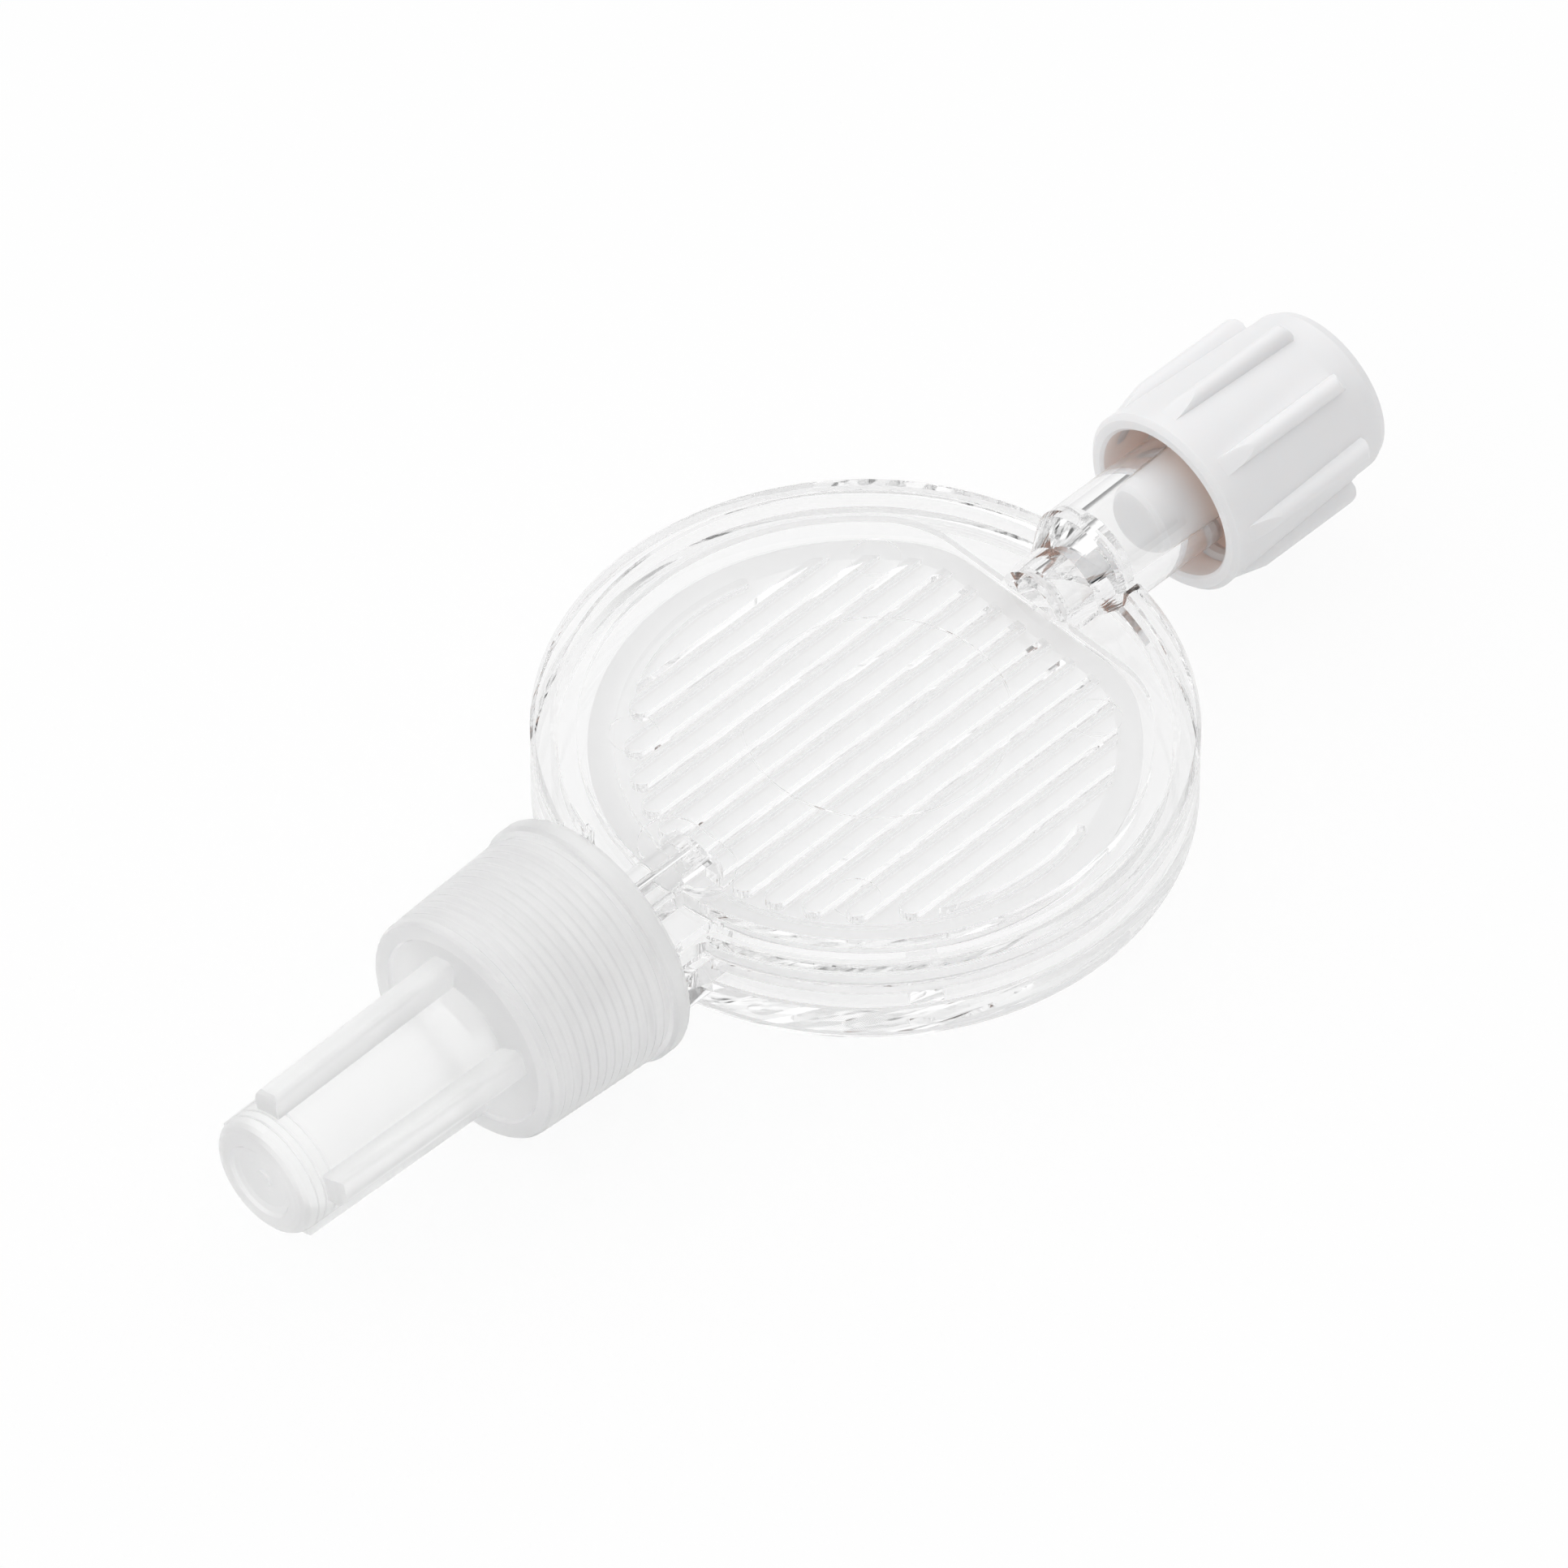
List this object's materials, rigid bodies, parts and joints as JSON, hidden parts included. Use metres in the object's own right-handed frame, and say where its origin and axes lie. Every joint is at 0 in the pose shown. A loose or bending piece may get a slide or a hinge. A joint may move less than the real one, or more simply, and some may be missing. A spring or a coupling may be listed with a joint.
{
  "type": "in-line disc filter",
  "caption": "Clear disc filter with a flat membrane, a female luer inlet with a screw plug and a male luer lock outlet under a push-on cap.",
  "frame": {"origin": "centre of the underside of the disc, on the disc axis", "axes": "+Z along the disc axis, from the lower to the upper housing; +X from the disc towards the inlet luer and its plug, so the outlet and its cap lie along -X"},
  "size_m": [0.0694, 0.031, 0.0126],
  "materials": {
    "clear_upper": "clear moulded acrylic, polished",
    "clear_lower": "clear moulded acrylic, polished",
    "membrane": "matt white microporous film",
    "white_plug": "opaque white moulded polyethylene, satin",
    "frosted_cap": "translucent natural moulded polypropylene"
  },
  "bodies": {
    "filter": {"upper_housing": "clear_upper", "lower_housing": "clear_lower", "membrane": "membrane"},
    "plug": {"closing_plug": "white_plug"},
    "cap": {"protective_cap": "frosted_cap"}
  },
  "joints": [
    {"name": "plug_off", "type": "slide", "parent": "filter", "child": "plug", "axis": [1, 0, 0], "range_m": [0, 0.012]},
    {"name": "cap_off", "type": "slide", "parent": "filter", "child": "cap", "axis": [-1, 0, 0], "range_m": [0, 0.012]}
  ]
}
